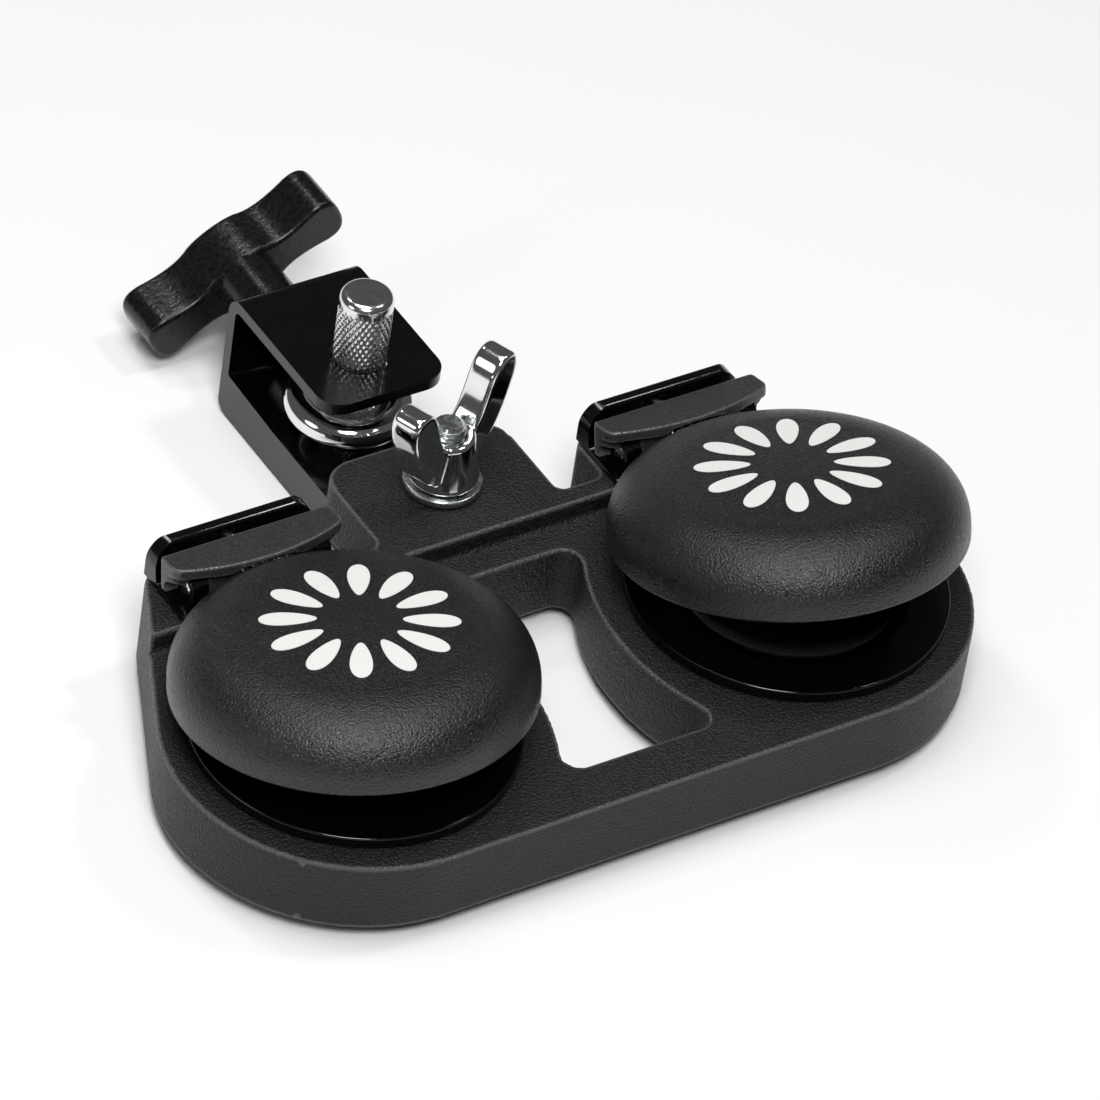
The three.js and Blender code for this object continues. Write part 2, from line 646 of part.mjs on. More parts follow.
function carriageBolt() {
  const headTop = LOWER_TOP - PLATE - GAP;
  const tip = NUT_Z + NUT_HEIGHT + BOLT_BEYOND;
  const threadR = BOLT_R - 0.1;
  const profile = [
    [0, headTop - BOLT_HEAD],
    [0.46 * BOLT_HEAD_R, headTop - 0.87 * BOLT_HEAD],
    [0.86 * BOLT_HEAD_R, headTop - 0.47 * BOLT_HEAD],
    [BOLT_HEAD_R, headTop],
    [threadR, headTop],
    [threadR, tip - 0.8],
    [threadR - 0.8, tip],
    [0, tip],
  ];
  const neck = box(-threadR, threadR, -threadR, threadR, headTop, LOWER_TOP);
  return join(turned(profile, 24), neck).translate([0, BOLT_Y, 0]);
}

function flatWasher() {
  const inner = BOLT_R + GAP;
  const top = WASHER_Z + WASHER_THICK;
  const profile = [
    [inner, WASHER_Z],
    [WASHER_R - WASHER_EDGE, WASHER_Z],
    [WASHER_R, WASHER_Z + WASHER_EDGE],
    [WASHER_R, top - WASHER_EDGE],
    [WASHER_R - WASHER_EDGE, top],
    [inner, top],
    [inner, WASHER_Z],
  ];
  return turned(profile, 24).translate([0, BOLT_Y, 0]);
}

function wingNut() {
  const hub = turned(
    [
      [0, 0],
      [6, 0],
      [6.3, 0.8],
      [5, NUT_HEIGHT - 0.8],
      [4.4, NUT_HEIGHT],
      [0, NUT_HEIGHT],
    ],
    20,
  );
  const wing = new THREE.Shape();
  wing.moveTo(3.4, 1.6);
  wing.bezierCurveTo(7.4, 2.2, 11, 6, 13.6, 14.5);
  wing.bezierCurveTo(14.8, 18.2, 14.6, 20.8, 12.2, 21.2);
  wing.bezierCurveTo(9.6, 21.6, 8.2, 19.8, 7.2, 16.6);
  wing.bezierCurveTo(6.2, 13.2, 5, 10.4, 3.4, 8.6);
  wing.closePath();
  const blade = frontSlab(wing, -WING_HALF, WING_HALF, 6);
  const bore = diskZ(BOLT_R + 0.2, -1, 40, 16);
  const nut = join(hub, blade, blade.rotate([0, 0, 180])).subtract(bore);
  return nut.rotate([0, 0, WING_TURN]).translate([0, BOLT_Y, NUT_Z]);
}

function mountingRod() {
  const profile = [
    [0, ROD_BOTTOM],
    [ROD_R - ROD_CHAMFER / 2, ROD_BOTTOM],
    [ROD_R, ROD_BOTTOM + ROD_CHAMFER / 2],
    [ROD_R, ROD_TOP - ROD_CHAMFER],
    [ROD_R - 0.5, ROD_TOP - 0.6],
    [ROD_R - ROD_CHAMFER, ROD_TOP],
    [0, ROD_TOP],
  ];
  return turned(profile, 28).translate([0, ROD_Y, 0]);
}

function eyeBolt() {
  const ring = toSolid(new THREE.TorusGeometry(EYE_R, EYE_TUBE, 10, 28));
  const shank = diskY(SHANK_R, EYE_R, HANDLE_REAR - BORE_END - 0.4 - EYE_Y, 16);
  const ringHole = diskZ(EYE_R - EYE_TUBE, -9, 9, 28);
  return join(ring, shank.subtract(ringHole)).translate([0, EYE_Y, EYE_Z]);
}

// The grip seen from behind: swollen in the middle, waisted, and full at its ends
function handleOutline() {
  const end = HANDLE_HALF;
  const upper = (shape, way) => {
    shape.bezierCurveTo(-way * end, way * 4.2, way * (2 - end), way * 4.8, way * (4.6 - end), way * 4.5);
    shape.bezierCurveTo(-way * 12, way * 3.6, -way * 8.6, way * 3.2, -way * 6, way * 4.4);
    shape.bezierCurveTo(-way * 3.6, way * 6, way * 3.6, way * 6, way * 6, way * 4.4);
    shape.bezierCurveTo(way * 8.6, way * 3.2, way * 12, way * 3.6, way * (end - 4.6), way * 4.5);
    shape.bezierCurveTo(way * (end - 2), way * 4.8, way * end, way * 4.2, way * end, 0);
  };
  const shape = new THREE.Shape();
  shape.moveTo(-end, 0);
  upper(shape, 1);
  upper(shape, -1);
  shape.closePath();
  return shape;
}

function clampHandle() {
  const grip = frontSlab(handleOutline(), HANDLE_FRONT, HANDLE_REAR, 4);
  const bossFront = WEB_REAR + GAP + THRUST_THICK + GAP;
  const boss = diskY(BOSS_R, bossFront, HANDLE_FRONT + 1, 24);
  const bore = diskY(SHANK_R + GAP, 0, HANDLE_REAR - BORE_END, 16);
  const handle = join(grip, boss).subtract(bore);
  return handle.rotate([0, HANDLE_TURN, 0]).translate([0, 0, EYE_Z]);
}

function thrustWasher() {
  const front = WEB_REAR + GAP;
  const ring = diskY(THRUST_R, front, front + THRUST_THICK, 24);
  return ring.subtract(diskY(SHANK_R + GAP, 0, FAR, 16)).translate([0, 0, EYE_Z]);
}

// ---------------------------------------------------------------- assembly
addPart('base_frame', baseFrame(), texturedBlack());
addPart('mounting_rod', mountingRod(), chrome());
addPart('clamp_bracket', clampBracket(), paintedBlack());
addPart('carriage_bolt', carriageBolt(), zinc());
addPart('flat_washer', flatWasher(), zinc());
addPart('wing_nut', wingNut(), chrome());
addPart('eye_bolt', eyeBolt(), chrome());
addPart('thrust_washer', thrustWasher(), zinc());
addPart('clamp_handle', clampHandle(), satinBlack());

for (const [side, sign, tilt] of [['left', -1, TILT_LEFT], ['right', 1, TILT_RIGHT]]) {
  const x = sign * LOBE_X;
  addPart(`lower_shell_${side}`, lowerShell(x), glossBlack());
  addPart(`upper_shell_${side}`, opened(upperShell(), tilt, x), texturedBlack());
  addPart(`hinge_block_${side}`, opened(hingeBlock(), tilt, x), satinBlack());
  addPart(`hinge_bracket_${side}`, hingeBracket(x), glossBlack());
  addPart(`hinge_pin_${side}`, hingePin(x), chrome());
  addPart(`torsion_spring_${side}`, torsionSpring(x), zinc());
  addPart(`stop_screw_${side}`, stopScrew(x, tilt), zinc());
  addPart(`foot_front_${side}`, rubberFoot(sign * FOOT_FRONT_X, FOOT_FRONT_Y), rubber());
  addPart(`foot_rear_${side}`, rubberFoot(sign * FOOT_REAR_X, FOOT_REAR_Y), rubber());
  addPart(`shell_screw_outer_${side}`, shellScrew(x + sign * SHELL_SCREW_X), zinc());
  addPart(`shell_screw_inner_${side}`, shellScrew(x - sign * SHELL_SCREW_X), zinc());
}

export default group;
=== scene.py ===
import json
import math

import bmesh
import bpy
from mathutils import Matrix, Vector


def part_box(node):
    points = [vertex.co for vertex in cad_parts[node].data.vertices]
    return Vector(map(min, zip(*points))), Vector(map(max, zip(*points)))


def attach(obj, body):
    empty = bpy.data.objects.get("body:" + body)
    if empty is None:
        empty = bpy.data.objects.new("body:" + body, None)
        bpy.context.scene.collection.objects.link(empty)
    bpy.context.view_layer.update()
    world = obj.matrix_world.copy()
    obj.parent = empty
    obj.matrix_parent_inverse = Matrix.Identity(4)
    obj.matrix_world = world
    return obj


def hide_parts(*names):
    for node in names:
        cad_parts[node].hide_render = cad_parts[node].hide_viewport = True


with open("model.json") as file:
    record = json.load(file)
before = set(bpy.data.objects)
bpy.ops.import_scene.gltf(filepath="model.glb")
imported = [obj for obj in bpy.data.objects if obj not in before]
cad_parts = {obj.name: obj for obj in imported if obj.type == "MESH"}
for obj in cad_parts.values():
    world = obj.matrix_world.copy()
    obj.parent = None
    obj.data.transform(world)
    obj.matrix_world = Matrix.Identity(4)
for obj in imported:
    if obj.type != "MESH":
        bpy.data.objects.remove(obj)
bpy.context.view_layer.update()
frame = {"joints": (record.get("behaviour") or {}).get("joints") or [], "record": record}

# ---------------------------------------------------------------- sizes, in millimetres
# x and z are the frame's own; y is measured from the line through the two castanets.
MM = 0.001
FAR = 200  # beyond every piece, for cuts that go right through
GAP = 0.3  # clearance between touching pieces
OVERLAP = 0.5  # how far joined solids reach into each other
EASED_ANGLE = 35  # degrees of turn from which an edge is rounded
SHARP_ANGLE = 40  # degrees of turn from which an edge is shaded sharp

LOBE_X = 42.5
LOBE_R = 32.5
BASE_BOTTOM = 2.6
BASE_TOP = 16
PAD_TOP = 20
PAD_FRONT = 30.2
PAD_REAR = 44.4
PAD_INNER_X = 26.7
PAD_OUTER_X = 57.6
BAR_REAR = 34
TONGUE_HALF = 17.6
TONGUE_REAR = 55.3
TONGUE_BOTTOM = 8.9
OPENING_FRONT = -23
OPENING_REAR = 24.6
WAIST_X = 9.6
WAIST_R = 44
POCKET_R = 24
POCKET_FLOOR = 7.2

FOOT_R = 6
FOOT_TREAD = 1.6
FOOT_PLUG_R = 2.4  # the stub that holds a foot in the base
FOOT_PLUG = 3
FOOT_PLACES = {"front": (58, -14), "rear": (51, 37)}
SCREW_X = 12
SCREW_HOLE_R = 1.6
SCREW_SINK_R = 3.6
SCREW_SEAT = BASE_BOTTOM + 2.4
SCREW_R = 0.95
SCREW_HEAD_R = 3
SCREW_HEAD = 1.7
SCREW_SLOT = 0.6
SCREW_GRIP = 1.6  # how far a screw reaches into its shell

SHELL_R = 28
SHELL_TOP = 18.4
SHELL_BOWL_R = 23.4
SHELL_BOTTOM = POCKET_FLOOR + GAP
SHELL_FLOOR = 10.4
CUP_R = 20.5

DOME_Y = 2
DOME_R = 30.7
DOME_BOTTOM = 18.8
DOME_HEIGHT = 12.9
CROWN_R = 17.3
CROWN_DROP = 0.5
CROWN_ROUND = 0.92
RIM_HEIGHT = 2.2
DOME_CUP_DEPTH = 8.2
SHORT_OF_CLOSED = 0.3  # degrees that a dome still stands open at the end of its swing
NOTCH_FRONT = 29.6
NOTCH_TOP = 26
PRINT_X = 1.5  # the printed rosette's centre, from the dome's axis
PRINT_Y = 1.1
PETALS = 12
PETAL_START = 7
PETAL_LENGTH = 9.6
PETAL_HALF = 2.1
PETAL_ROOT = 0.62  # a petal's fullness at its inner end, and how much it gains towards the outer
PETAL_SWELL = 0.5
PRINT_THICK = 0.06

BLOCK_HALF = 16.2
BLOCK_TOP = 29.4
BLOCK_BOTTOM = 23.4
BLOCK_REAR = 37.8
BLOCK_FRONT_MID = 29.2
BLOCK_FRONT_END = 32.6
BLOCK_LIP = 2
BLOCK_RECESS = 1.5
BARREL_R = 2.6
BARREL_HALF = 9.9
SPRING_HALF = 5.2
SPRING_CLEAR = 4.2
SPRING_WIRE_R = 0.45
SPRING_TURNS = 4
SPRING_END_ROOM = 1.2
PIN_R = 1.5

PLATE_HALF = 15.3
PLATE_TOP = 28.2
PLATE_REAR = 44
PLATE_TOP_THICK = 2.3
PLATE_FOOT_THICK = 3.9
PLATE_CORNER = 4.6
FOOT_PLATE_FRONT = PAD_FRONT + 0.6
FOOT_PLATE_TOP = PAD_TOP + GAP + 1
EAR_IN = 10.3
EAR_OUT = 13.3
EAR_R = 3
EAR_CLEAR = 0.4
STOP_Z = 24.3
STOP_R = 1.5
STOP_HEAD_R = 2
SLOT_HALF = 0.35  # the slots in the screws' heads
SLOT_DEPTH = 0.7

BOLT_Y = 43.5
BOLT_R = 3
BOLT_HEAD_R = 6.5
BOLT_HEAD = 3
BOLT_TOP = 33.7
SHEET = 2.2  # thickness of the clamp bracket
BEND = 1.4
NOSE_R = 9
BRACKET_HALF = 12.2
FLANGE_TOP = 26.1
FLANGE_FRONT = 61.9
FLANGE_CORNER = 4.5
WEB_REAR = 95.5
LOWER_TOP = TONGUE_BOTTOM - GAP
LIP_BOTTOM = 0.8
LIP_FRONT = 51
ROD_R = 4.7625
ROD_Y = 72.4
ROD_TOP = 40.1
ROD_BOTTOM = 1.2
ROD_CHAMFER = 0.8
ROD_HOLE_R = ROD_R + GAP + 0.05
KNURL_STARTS = 28
KNURL_RISE = 1.9  # height of one diamond
KNURL_DEPTH = 0.32
KNURL_BOTTOM = ROD_BOTTOM + 1.5
KNURL_TOP = 37.4
KNURL_EDGE = 1.6  # the larger, the narrower the grooves
KNURL_STEP = 0.16  # between the rings of points that carry the knurl
EYE_Z = 14.7
EYE_TUBE = 2.6
EYE_R = 8.9
EYE_Y = ROD_Y + EYE_R - EYE_TUBE - ROD_R - GAP
SHANK_R = 3
SHANK_END = 116
HANDLE_FRONT = 108.6
HANDLE_REAR = 119.4
HANDLE_HALF = 20.4
HANDLE_TURN = -29
BOSS_R = 5.8
THRUST_R = 7
THRUST_THICK = 1.6
WASHER_R = 6.9
WASHER_THICK = 1.4
NUT_Z = PAD_TOP + GAP + WASHER_THICK + GAP
NUT_R = 6.3
NUT_TOP_R = 4.6
NUT_HEIGHT = 9.5
WING_TURN = 22
WING_HALF = 2.8

# The castanets' line in the row frame
ORIGIN = Vector((0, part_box("base_frame")[0].y + LOBE_R * MM, 0))
TO_ROW = Matrix.Translation(ORIGIN) @ Matrix.Scale(MM, 4)

PLACES = {
    "x": lambda a, b, c: (c, a, b),
    "y": lambda a, b, c: (a, c, b),
    "z": lambda a, b, c: (a, b, c),
}


# ---------------------------------------------------------------- outlines
def arc(x, y, radius, start, end, steps):
    """Points of an arc from one angle to another, in degrees."""
    angles = [math.radians(start + (end - start) * i / steps) for i in range(steps + 1)]
    return [(x + radius * math.cos(a), y + radius * math.sin(a)) for a in angles]


def quarter(steps):
    """The angles of a quarter turn, in radians, from 0 to its end."""
    return [math.pi / 2 * i / steps for i in range(steps + 1)]


def rounded(corners, closed=True, steps=6):
    """Points of a line through (x, y) or (x, y, radius) corners, with each radius made an arc."""
    points = []
    for i, (x, y, *radius) in enumerate(corners):
        if not radius or (not closed and i in (0, len(corners) - 1)):
            points.append((x, y))
            continue
        here = Vector((x, y))
        before = (Vector(corners[i - 1][:2]) - here).normalized()
        after = (Vector(corners[(i + 1) % len(corners)][:2]) - here).normalized()
        half = before.angle(after) / 2
        reach = radius[0] / math.tan(half)
        centre = here + (before + after).normalized() * (radius[0] / math.sin(half))
        first = here + before * reach - centre
        last = here + after * reach - centre
        start = math.atan2(first.y, first.x)
        sweep = (math.atan2(last.y, last.x) - start + math.pi) % (2 * math.pi) - math.pi
        end = start + sweep
        points += arc(centre.x, centre.y, radius[0], math.degrees(start), math.degrees(end), steps)
    return points


def mirrored(right):
    """A right-hand run of points or corners, followed by its mirror image."""
    return right + [(-x, y, *radius) for x, y, *radius in reversed(right)]


def curve(points, steps=10):
    """Points of a run of cubic curves: a start, then two handles and an end for each."""
    line = [points[0]]
    for i in range(0, len(points) - 1, 3):
        a, b, c, d = (Vector(p) for p in points[i : i + 4])
        for k in range(1, steps + 1):
            t = k / steps
            s = 1 - t
            line.append(tuple(a * s**3 + b * 3 * s * s * t + c * 3 * s * t * t + d * t**3))
    return line


# ---------------------------------------------------------------- solids
def mesh_object(bm):
    bmesh.ops.remove_doubles(bm, verts=bm.verts, dist=1e-4)
    bmesh.ops.recalc_face_normals(bm, faces=bm.faces)
    mesh = bpy.data.meshes.new("solid")
    bm.to_mesh(mesh)
    bm.free()
    obj = bpy.data.objects.new("solid", mesh)
    bpy.context.scene.collection.objects.link(obj)
    return obj


def prism(outline, low, high, along="z"):
    """An outline raised along an axis; it is drawn in (y, z) for x, (x, z) for y and (x, y) for z."""
    place = PLACES[along]
    bm = bmesh.new()
    rings = [[bm.verts.new(place(a, b, c)) for a, b in outline] for c in (low, high)]
    for ring in rings:
        bm.faces.new(ring)
    for i in range(len(outline)):
        j = (i + 1) % len(outline)
        bm.faces.new((rings[0][i], rings[0][j], rings[1][j], rings[1][i]))
    return mesh_object(bm)


def block(x0, x1, y0, y1, z0, z1):
    return prism([(x0, y0), (x1, y0), (x1, y1), (x0, y1)], z0, z1)


def turned(profile, along="z", steps=96, radius_at=None):
    """(radius, height) points turned about an axis. It closes on the axis, or else on itself.
    radius_at(radius, height, angle) gives the surface a pattern."""
    place = PLACES[along]
    bm = bmesh.new()
    rings = []
    for radius, height in profile:
        if radius == 0:
            rings.append([bm.verts.new(place(0, 0, height))])
            continue
        ring = []
        for i in range(steps):
            angle = 2 * math.pi * i / steps
            r = radius_at(radius, height, angle) if radius_at else radius
            ring.append(bm.verts.new(place(r * math.cos(angle), r * math.sin(angle), height)))
        rings.append(ring)
    pairs = list(zip(rings, rings[1:]))
    if profile[0][0] > 0:
        pairs.append((rings[-1], rings[0]))
    for lower, upper in pairs:
        for i in range(steps):
            j = i + 1
            around = ((lower, i), (lower, j), (upper, j), (upper, i))
            corners = [ring[k % len(ring)] for ring, k in around]
            bm.faces.new(list(dict.fromkeys(corners)))
    return mesh_object(bm)


def disk(radius, low, high, along="z", steps=64):
    return turned([(0, low), (radius, low), (radius, high), (0, high)], along, steps)


def tube(path, radius, sides=12):
    """A round wire along a path of points."""
    bm = bmesh.new()
    rings = []
    side = Vector((0, 0, 1))
    for i, point in enumerate(path):
        ahead = (path[min(i + 1, len(path) - 1)] - path[max(i - 1, 0)]).normalized()
        side = (side - ahead * side.dot(ahead)).normalized()
        other = ahead.cross(side)
        ring = []
        for k in range(sides):
            angle = 2 * math.pi * k / sides
            spoke = side * math.cos(angle) + other * math.sin(angle)
            ring.append(bm.verts.new(point + spoke * radius))
        rings.append(ring)
    for lower, upper in zip(rings, rings[1:]):
        for k in range(sides):
            j = (k + 1) % sides
            bm.faces.new((lower[k], lower[j], upper[j], upper[k]))
    bm.faces.new(rings[0])
    bm.faces.new(rings[-1])
    return mesh_object(bm)


def settle(obj):
    """Makes an object's modifiers part of its mesh."""
    graph = bpy.context.evaluated_depsgraph_get()
    mesh = bpy.data.meshes.new_from_object(obj.evaluated_get(graph))
    obj.modifiers.clear()
    obj.data = mesh
    return obj


def combine(operation, target, *others):
    for other in others:
        modifier = target.modifiers.new("combine", "BOOLEAN")
        modifier.operation = operation
        modifier.solver = "EXACT"
        modifier.object = other
    settle(target)
    for other in others:
        bpy.data.objects.remove(other)
    return target


def join(target, *others):
    return combine("UNION", target, *others)


def cut(target, *others):
    return combine("DIFFERENCE", target, *others)


def keep(target, *others):
    return combine("INTERSECT", target, *others)


def move(obj, x=0, y=0, z=0):
    obj.data.transform(Matrix.Translation((x, y, z)))
    return obj


def ease(obj, width, segments=3):
    """Rounds the edges that turn by more than EASED_ANGLE."""
    modifier = obj.modifiers.new("ease", "BEVEL")
    modifier.width = width
    modifier.segments = segments
    modifier.limit_method = "ANGLE"
    modifier.angle_limit = math.radians(EASED_ANGLE)
    return settle(obj)


def cast(solids, voxel, passes):
    """Overlapping solids made one closed body with softened edges, as a moulding or a casting has."""
    bm = bmesh.new()
    for solid in solids:
        bm.from_mesh(solid.data)
    bm.to_mesh(solids[0].data)
    bm.free()
    obj = solids[0]
    for other in solids[1:]:
        bpy.data.objects.remove(other)
    remesh = obj.modifiers.new("cast", "REMESH")
    remesh.mode = "VOXEL"
    remesh.voxel_size = voxel
    smooth = obj.modifiers.new("soften", "SMOOTH")
    smooth.factor = 0.5
    smooth.iterations = passes
    return settle(obj)


# ---------------------------------------------------------------- materials
# How much of the record's colour each black finish keeps under these lights
SHADES = {
    "base_plastic": 0.2,
    "dome_plastic": 0.08,
    "block_plastic": 0.55,
    "gloss_shell": 0.15,
    "gloss_bracket": 0.15,
    "handle_plastic": 0.1,
    "painted_steel": 0.12,
    "foot_rubber": 0.3,
}
PRINT_WHITE = (0.82, 0.82, 0.8)
RECORD_COLOURS = {m["slot"]: m["base_color"] for m in frame["record"]["materials"]}

# Painted edge highlight, with the polish that goes with it: the most of it, and the sharpness at which
# it starts and is full
HIGHLIGHT_AND_POLISH_MOST = 0.85
HIGHLIGHT_AND_POLISH_POINTINESS = (0.507, 0.53)

# A Mix node's sockets share their names, so they are told apart by number: A, B and the result
COLOUR_MIX = (6, 7, 2)
NUMBER_MIX = (2, 3, 0)


class Finish:
    """A material whose nodes read the object's own coordinates."""

    def __init__(self, name, colour):
        self.material = bpy.data.materials.new(name)
        self.material.use_nodes = True
        self.nodes = self.material.node_tree.nodes
        self.links = self.material.node_tree.links
        self.shader = self.nodes["Principled BSDF"]
        self.shader.inputs["Base Color"].default_value = (*colour, 1)
        self.colour = colour
        self.coordinates = self.nodes.new("ShaderNodeTexCoord").outputs["Object"]
        self.normal = None

    def set(self, **values):
        for name, value in values.items():
            socket = name.replace("_", " ").title().replace("Ior", "IOR")
            self.shader.inputs[socket].default_value = value
        return self

    def noise(self, grain, detail=3):
        """Noise whose lumps are about grain millimetres across."""
        node = self.nodes.new("ShaderNodeTexNoise")
        node.inputs["Scale"].default_value = 1 / (grain * MM)
        node.inputs["Detail"].default_value = detail
        self.links.new(self.coordinates, node.inputs["Vector"])
        return node.outputs["Fac"]

    def ramp(self, value, low, high, from_low=0.3, from_high=0.7):
        node = self.nodes.new("ShaderNodeMapRange")
        self.links.new(value, node.inputs["Value"])
        node.inputs["From Min"].default_value = from_low
        node.inputs["From Max"].default_value = from_high
        node.inputs["To Min"].default_value = low
        node.inputs["To Max"].default_value = high
        return node.outputs["Result"]

    def roughness(self, low, high, grain):
        self.links.new(self.ramp(self.noise(grain), low, high), self.shader.inputs["Roughness"])
        return self

    def blend(self, name, factor, value, sockets):
        """Mixes one of the shader's inputs with a value, by a factor that varies over the surface."""
        first, second, result = sockets
        node = self.nodes.new("ShaderNodeMix")
        node.data_type = "RGBA" if sockets == COLOUR_MIX else "FLOAT"
        target = self.shader.inputs[name]
        self.links.new(factor, node.inputs["Factor"])
        if target.links:
            self.links.new(target.links[0].from_socket, node.inputs[first])
        else:
            node.inputs[first].default_value = target.default_value
        node.inputs[second].default_value = value
        self.links.new(node.outputs[result], target)

    def speckle(self, lighter, grain):
        """Mixes the colour with a lighter shade, in grains."""
        shade = (*(c * lighter for c in self.colour), 1)
        self.blend("Base Color", self.ramp(self.noise(grain), 0, 1), shade, COLOUR_MIX)
        return self

    def edge_highlight_and_polish(self, highlight_grey, polished):
        """Paints a highlight on convex edges as a lighter grey, and polishes them to a given roughness;
        it needs a fine mesh.
        """
        geometry = self.nodes.new("ShaderNodeNewGeometry")
        edge = self.ramp(geometry.outputs["Pointiness"], 0, HIGHLIGHT_AND_POLISH_MOST, *HIGHLIGHT_AND_POLISH_POINTINESS)
        # the lighter grey along the edges is a painted highlight; the roughness below is the polish
        self.blend("Base Color", edge, (highlight_grey, highlight_grey, highlight_grey, 1), COLOUR_MIX)
        self.blend("Roughness", edge, polished, NUMBER_MIX)
        return self

    def relief(self, grain, depth, detail=2):
        """Bump of the given depth; a second call adds to the first."""
        bump = self.nodes.new("ShaderNodeBump")
        bump.inputs["Strength"].default_value = 1
        bump.inputs["Distance"].default_value = depth * MM
        self.links.new(self.noise(grain, detail), bump.inputs["Height"])
        if self.normal:
            self.links.new(self.normal, bump.inputs["Normal"])
        self.normal = bump.outputs["Normal"]
        self.links.new(self.normal, self.shader.inputs["Normal"])
        return self


def make_finishes():
    made = {}
    for slot, colour in RECORD_COLOURS.items():
        made[slot] = Finish(slot, [c * SHADES.get(slot, 1) for c in colour])
    base = made["base_plastic"].set(specular_ior_level=0.36)
    # the base's edges get a painted highlight of lighter grey, and a smoother finish
    base.speckle(4, 0.5).roughness(0.36, 0.62, 0.5).relief(0.5, 0.55).edge_highlight_and_polish(0.1, 0.22)
    dome = made["dome_plastic"].set(specular_ior_level=0.55)
    dome.speckle(4.5, 0.42).roughness(0.22, 0.46, 0.42).relief(0.42, 0.23)
    block = made["block_plastic"].set(specular_ior_level=0.6)
    # the hinge blocks' edges get a painted highlight of lighter grey, and a smoother finish
    block.speckle(1.8, 0.5).roughness(0.3, 0.48, 0.5).relief(0.5, 0.12).edge_highlight_and_polish(0.09, 0.2)
    made["gloss_shell"].roughness(0.06, 0.14, 4).relief(3, 0.006)
    made["gloss_bracket"].roughness(0.1, 0.2, 2).relief(1.2, 0.01)
    handle = made["handle_plastic"].set(specular_ior_level=0.35)
    handle.speckle(3, 0.8).roughness(0.18, 0.32, 0.8).relief(0.8, 0.05).relief(5, 0.06)
    made["painted_steel"].roughness(0.12, 0.22, 3).relief(1.6, 0.01)
    made["knurled_chrome"].set(metallic=1).roughness(0.1, 0.22, 1.5)
    made["chrome"].set(metallic=1).roughness(0.04, 0.12, 5).relief(4, 0.012)
    made["spring_steel"].set(metallic=1).roughness(0.25, 0.4, 0.6)
    made["zinc_steel"].set(metallic=1).speckle(0.82, 1.5).roughness(0.2, 0.36, 1).relief(0.8, 0.008)
    made["foot_rubber"].speckle(1.6, 0.6).roughness(0.75, 0.92, 0.8).relief(0.5, 0.05)
    printed = Finish("white_print", PRINT_WHITE)
    made["white_print"] = printed.speckle(0.94, 0.5).roughness(0.4, 0.55, 0.5).relief(0.45, 0.04)
    return made


FINISHES = make_finishes()


def piece(obj, name, body, slot, nodes=(), finish=None):
    """Puts a finished solid in the row frame as a named piece that rides on its body."""
    obj.data.transform(TO_ROW)
    obj.name = name
    obj.data.name = name
    obj.data.materials.clear()
    obj.data.materials.append(FINISHES[finish or slot].material)
    obj.data.shade_smooth()
    obj.data.set_sharp_from_angle(angle=math.radians(SHARP_ANGLE))
    weighted = obj.modifiers.new("normals", "WEIGHTED_NORMAL")
    weighted.keep_sharp = True
    settle(obj)
    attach(obj, body)
    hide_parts(*nodes)


# ---------------------------------------------------------------- base
def base_outline():
    across = PAD_OUTER_X - LOBE_X
    lean = math.atan2(PAD_REAR, across) - math.acos(LOBE_R / math.hypot(PAD_REAR, across))
    right = arc(LOBE_X, 0, LOBE_R, -90, math.degrees(lean), 44)
    right += [
        (PAD_OUTER_X, PAD_REAR, 4),
        (PAD_INNER_X, PAD_REAR, 2.5),
        (PAD_INNER_X, BAR_REAR, 2),
        (TONGUE_HALF, BAR_REAR, 2),
        (TONGUE_HALF, TONGUE_REAR, 5.5),
    ]
    return rounded(mirrored(right))


def opening_outline():
    corner = 3
    corner_reach = 1.4 * corner
    steps = 18
    start = OPENING_FRONT + corner_reach
    span = OPENING_REAR - corner_reach - start

    def side(y, *radius):
        return (WAIST_X + WAIST_R - math.sqrt(WAIST_R**2 - y * y), y, *radius)

    middle = [side(start + span * i / steps) for i in range(steps + 1)]
    return rounded(mirrored([side(OPENING_FRONT, corner), *middle, side(OPENING_REAR, corner)]))


def make_base():
    base = prism(base_outline(), BASE_BOTTOM, PAD_TOP)
    cut(
        base,
        block(-PAD_INNER_X, PAD_INNER_X, BAR_REAR, FAR, -FAR, TONGUE_BOTTOM),
        block(-FAR, FAR, -FAR, PAD_FRONT, BASE_TOP, FAR),
        prism(opening_outline(), -FAR, FAR),
        move(disk(BOLT_R + GAP, -FAR, FAR, steps=32), y=BOLT_Y),
    )
    for x in (-LOBE_X, LOBE_X):
        cut(base, move(disk(POCKET_R, POCKET_FLOOR, FAR, steps=96), x=x))
        for offset in (-SCREW_X, SCREW_X):
            hole = disk(SCREW_HOLE_R, -FAR, FAR, steps=24)
            sink = disk(SCREW_SINK_R, -FAR, SCREW_SEAT, steps=32)
            cut(base, move(join(hole, sink), x=x + offset))
    cast([base], 0.4, 7)
    piece(base, "moulded_base", "base", "base_plastic", ["base_frame"])


def make_feet(side, sign):
    for place, (x, y) in FOOT_PLACES.items():
        top = BASE_BOTTOM - GAP
        profile = [
            (0, 0),
            (FOOT_R - FOOT_TREAD, 0),
            (FOOT_R, 0, 0.8),
            (FOOT_R, top, 0.4),
            (FOOT_PLUG_R, top),
            (FOOT_PLUG_R, top + FOOT_PLUG),
            (0, top + FOOT_PLUG),
        ]
        foot = move(turned(rounded(profile, closed=False), steps=64), sign * x, y)
        name = f"foot_{place}_{side}"
        piece(foot, f"rubber_{name}", "base", "foot_rubber", [name])


